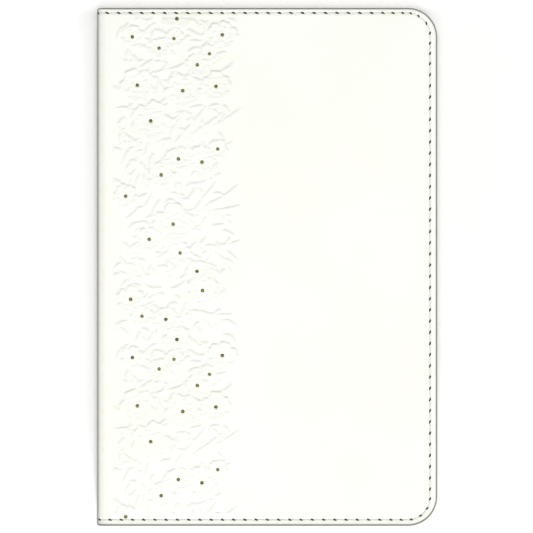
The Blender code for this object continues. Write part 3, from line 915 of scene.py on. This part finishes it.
gauze = Finish("book_gauze", (0.8, 0.77, 0.68), 0.95)
weave = gauze.mixed(1.0, gauze.waves(700, direction="Y"), gauze.waves(700, direction="Z"), "MULTIPLY")
gauze.coloured(weave, (0.55, 0.52, 0.43), (0.85, 0.82, 0.74), 0.05, 0.6)
gauze.bump(weave, 0.1 * MM)
repainted(gauze, "front_spine_gauze", "back_spine_gauze")

linen = Finish("linen_thread", (0.78, 0.74, 0.62), 0.8)
linen.bump(linen.waves(1800, direction="DIAGONAL"), 0.08 * MM)
repainted(linen, "front_sewing_thread", "back_sewing_thread")


# --- Pages ----------------------------------------------------------------------------
# Thin cream leaves, cut with round fore-edge corners and gilt on their edges, lie a little unevenly on each
# other. Five gatherings are sewn into each half of the book.

page = Finish("page_paper", (0.86, 0.84, 0.76), 0.7, Specular_IOR_Level=0.25)
gilt = page.between(page.mark("gilt"), 0.0, 1.0, 0.4, 0.6)
paper_tone = page.between(page.noise(300, 4.0), (0.858, 0.838, 0.755), (0.876, 0.857, 0.778), 0.3, 0.7)
gilt_tone = page.between(page.noise(1500, 2.0), (0.62, 0.47, 0.2), (0.72, 0.56, 0.26), 0.3, 0.7)
page.sets("Base Color", page.mixed(gilt, paper_tone, gilt_tone))
page.sets("Metallic", gilt)
page.sets("Roughness", page.between(gilt, 0.7, 0.36))

block_low, block_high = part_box("back_section_1")
BLOCK_FORE_X, BLOCK_HEAD_Y, BLOCK_SPINE_X = block_high.x, block_high.y, block_low.x
BLOCK_CORNER = 8 * MM
LEAF_THICKNESS = 0.13 * MM
LEAVES_A_HALF = 48


def half_height(x):
    """How far the leaves reach from the middle towards head and tail, less at their round corners."""
    into_corner = np.clip(x - (BLOCK_FORE_X - BLOCK_CORNER), 0, BLOCK_CORNER)
    return BLOCK_HEAD_Y - BLOCK_CORNER + np.sqrt(np.maximum(BLOCK_CORNER**2 - into_corner**2, 0))


CORNER_COLUMNS = BLOCK_FORE_X - BLOCK_CORNER * (1 - np.sin(np.linspace(0, math.pi / 2, 9)))


def leaf_sheet(name, path_x, path_z, normal_x, normal_z, thickness):
    """A sheet of paper that follows a path across the book, with its cut edges marked for gilding."""
    half = half_height(path_x)
    sides = []
    for y, side in ((half, 1), (-half, 1), (-half, -1), (half, -1)):
        off = side * thickness / 2
        sides.append(np.stack([path_x + normal_x * off, y, path_z + normal_z * off], 1))
    number = np.arange(4 * len(path_x)).reshape(-1, 4)
    near, far = number[:-1], number[1:]
    walls = np.stack([near, np.roll(near, -1, 1), np.roll(far, -1, 1), far], 2).reshape(-1, 4)
    faces = [*walls.tolist(), number[0, ::-1].tolist(), number[-1].tolist()]
    gilded = [0.0, 1.0, 0.0, 1.0] * len(near) + [1.0, 1.0]
    mesh = bpy.data.meshes.new(name)
    mesh.from_pydata(np.stack(sides, 1).reshape(-1, 3).tolist(), [], faces)
    mesh.attributes.new("gilt", "FLOAT", "FACE").data.foreach_set("value", gilded)
    shape = bmesh.new()
    shape.from_mesh(mesh)
    bmesh.ops.recalc_face_normals(shape, faces=shape.faces)
    shape.to_mesh(mesh)
    shape.free()
    return mesh


def sections_of(side):
    return [side + "_section_" + str(number) for number in (1, 2, 3, 4, 5)]


block_tree = Tree("leaves", Leaves=LEAVES_A_HALF, Spacing=0.15 * MM, Uneven=0.12 * MM, Skew=0.0007)
stacked = block_tree.row("Leaves", block_tree.vector(0.0, 0.0, block_tree.given["Spacing"]))
less, more = block_tree.share("Uneven", -1.0), block_tree.given["Uneven"]
shift = block_tree.scattered(block_tree.vector(less, less), block_tree.vector(0.0, more), 11)
moved = block_tree.add("GeometryNodeSetPosition", {"Geometry": stacked, "Offset": shift}).outputs[0]
left_skew = block_tree.vector(0.0, 0.0, block_tree.share("Skew", -1.0))
right_skew = block_tree.vector(0.0, 0.0, block_tree.given["Skew"])
swing = block_tree.scattered(left_skew, right_skew, 12)
block_tree.ends(block_tree.copies(moved, block_tree.given["Geometry"], swing), page.material, smooth=False)

leaf_columns = np.concatenate([[BLOCK_SPINE_X], CORNER_COLUMNS])
for side_name in ("front", "back"):
    sections = sections_of(side_name)
    pile_low = min(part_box(section)[0].z for section in sections)
    pile_high = max(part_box(section)[1].z for section in sections)
    flat = np.zeros(len(leaf_columns))
    one_leaf = leaf_sheet("leaf", leaf_columns, flat, flat, flat + 1, LEAF_THICKNESS)
    spacing = (pile_high - pile_low - LEAF_THICKNESS) / (LEAVES_A_HALF - 1)
    block = block_tree.grown(side_name + "_pages", one_leaf, Spacing=spacing)
    block.data.transform(Matrix.Translation((0, 0, pile_low + LEAF_THICKNESS / 2)))
    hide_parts(*sections)
    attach(block, side_name + "_half")


# --- Single leaves --------------------------------------------------------------------
# The flyleaves and the four middle leaves turn by themselves, hinged on the fold in the gutter. One folded
# sheet bridges the gutter where the book opens, pasted to the innermost page of each half.

NEAR_GUTTER, TO_CORNER = np.linspace(0, 30, 61) * MM, np.linspace(30, 95, 14)[1:] * MM
gutter_columns = BLOCK_SPINE_X + np.concatenate([NEAR_GUTTER, TO_CORNER])
before_corner = gutter_columns < CORNER_COLUMNS[0] - 0.5 * MM
gutter_columns = np.concatenate([gutter_columns[before_corner], CORNER_COLUMNS])
LEAF_PITCH = 0.165 * MM  # from one single leaf to the next, in a bundle that turns together


def turning_leaves(node):
    """Three leaves that turn together, in the place of one thick leaf of the model."""
    low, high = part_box(node)
    flat = np.zeros(len(gutter_columns))
    shape = bmesh.new()
    for leaf_z in (low.z + high.z) / 2 + LEAF_PITCH * np.array((-1, 0, 1)):
        shape.from_mesh(leaf_sheet("sheet", gutter_columns, flat + leaf_z, flat, flat + 1, LEAF_THICKNESS))
    mesh = bpy.data.meshes.new(node + "_sheets")
    shape.to_mesh(mesh)
    shape.free()
    leaf = piece_of(node + "_sheets", smoothed(mesh, 50), page.material)
    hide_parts(node)
    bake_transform(leaf)


turning_leaves("front_flyleaf")
turning_leaves("back_flyleaf")
for leaf_number, leaf_bend in ((1, 10), (2, 8), (3, 10), (4, 8)):
    leaf_name = "middle_leaf_" + str(leaf_number)
    turning_leaves(leaf_name)

FOLD_LOW = max(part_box(section)[1].z for section in sections_of("back")) + 0.12 * MM
FOLD_HIGH = THICKNESS - FOLD_LOW
FOLD_X = BLOCK_SPINE_X - 0.15 * MM
fold_turn = np.linspace(0, math.pi, 41)[1:-1]
fold_x = FOLD_X - 0.12 * MM * np.sin(fold_turn)
fold_z = MIDDLE_Z - (MIDDLE_Z - FOLD_LOW) * np.cos(fold_turn)
page_low, page_high = (np.full(len(gutter_columns), height) for height in (FOLD_LOW, FOLD_HIGH))
path_x = np.concatenate([gutter_columns[::-1], fold_x, gutter_columns])
path_z = np.concatenate([page_low, fold_z, page_high])
slope_x, slope_z = np.gradient(path_x), np.gradient(path_z)
slope = np.hypot(slope_x, slope_z)
fold_mesh = leaf_sheet("centre_fold", path_x, path_z, slope_z / slope, -slope_x / slope, 0.14 * MM)
centre_fold = piece_of("centre_fold", smoothed(fold_mesh, 50), page.material)
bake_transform(centre_fold)


# --- Headbands ------------------------------------------------------------------------
# Silk worked round a cord in two colours, glued on at the head and the tail of the pages.

silk = Finish("band_silk", (0.85, 0.8, 0.68), 0.5, Specular_IOR_Level=0.4)
silk.coloured(silk.mark("stripe"), (0.9, 0.88, 0.8), (0.62, 0.47, 0.16), 0.4, 0.6)
silk.bump(silk.noise(4000), 0.03 * MM)

TURNS = 14
band_tree = Tree("headband", Turns=TURNS, Spacing=0.62 * MM, Thickness=1.6 * MM)
across_band, along_band = band_tree.share("Thickness", 0.5), band_tree.share("Spacing", 0.62)
wound = band_tree.pebble(band_tree.vector(across_band, across_band, along_band), segments=12, rings=6)
turns = band_tree.row("Turns", band_tree.vector(0.0, 0.0, band_tree.given["Spacing"]))
odd = band_tree.math("MODULO", band_tree.add("GeometryNodeInputIndex").outputs[0], 2.0)
band_tree.ends(band_tree.copies(band_tree.marked(turns, "stripe", odd), wound), silk.material)

for side_name in ("front", "back"):
    for band_name in (side_name + "_headband", side_name + "_tailband"):
        band_low, band_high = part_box(band_name)
        middle = (band_low + band_high) / 2
        spacing = (band_high.z - band_low.z) / TURNS
        band = band_tree.grown(band_name + "_silk", bpy.data.meshes.new("band"), Spacing=spacing)
        band.data.transform(Matrix.Translation((middle.x, middle.y, band_low.z + spacing / 2)))
        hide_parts(band_name)
        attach(band, side_name + "_half")
